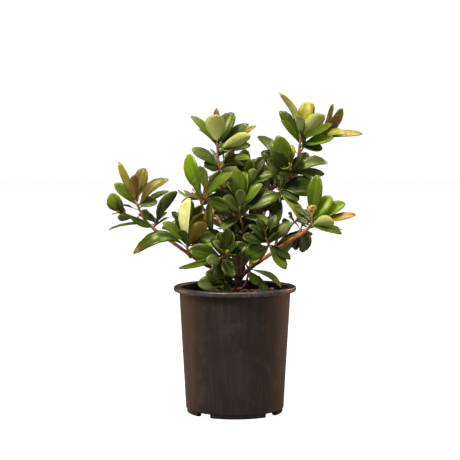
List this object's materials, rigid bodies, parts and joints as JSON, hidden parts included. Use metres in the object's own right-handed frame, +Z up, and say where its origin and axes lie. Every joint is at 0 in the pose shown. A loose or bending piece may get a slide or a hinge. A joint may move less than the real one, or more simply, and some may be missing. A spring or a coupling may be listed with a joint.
{
  "type": "potted shrub",
  "caption": "Indian hawthorn shrub with leathery green leaf rosettes on branching stems, in a round black nursery pot with a rolled rim and drain notches.",
  "frame": {"origin": "middle of the pot's flat underside", "axes": "+Z up along the pot's axis, front towards -Y, +X to the right as the picture shows the plant"},
  "size_m": [0.3419, 0.2097, 0.4294],
  "materials": {
    "pot": "matte, lightly scuffed",
    "soil": "rough bark compost",
    "bark": "fine rough bark",
    "foliage": "leathery, satin"
  },
  "bodies": {
    "root": {"pot": "pot", "soil": "soil", "trunk": "bark", "bough_left_leader": "bark", "bough_right_leader": "bark", "bough_lower_left": "bark", "bough_lower_right": "bark", "bough_centre": "bark", "bough_mid_right": "bark", "bough_left_inner": "bark", "bough_right_low": "bark", "bough_front_left": "bark", "bough_front_right": "bark", "bough_back_left": "bark", "bough_back_right": "bark", "bough_back_high": "bark", "bough_side_left": "bark", "bough_side_right": "bark", "bough_back_low": "bark", "leaves_upper_left": "foliage", "leaves_centre": "foliage", "leaves_upper_right": "foliage", "leaves_mid_right": "foliage", "leaves_right": "foliage", "leaves_right_low": "foliage", "leaves_far_left": "foliage", "leaves_left_inner": "foliage", "leaves_front_left": "foliage", "leaves_front_right": "foliage", "leaves_low_left": "foliage", "leaves_low_right": "foliage", "leaves_back_left": "foliage", "leaves_back_right": "foliage", "leaves_back_high": "foliage", "leaves_side_left": "foliage", "leaves_side_right": "foliage", "leaves_back_low": "foliage"}
  },
  "joints": []
}
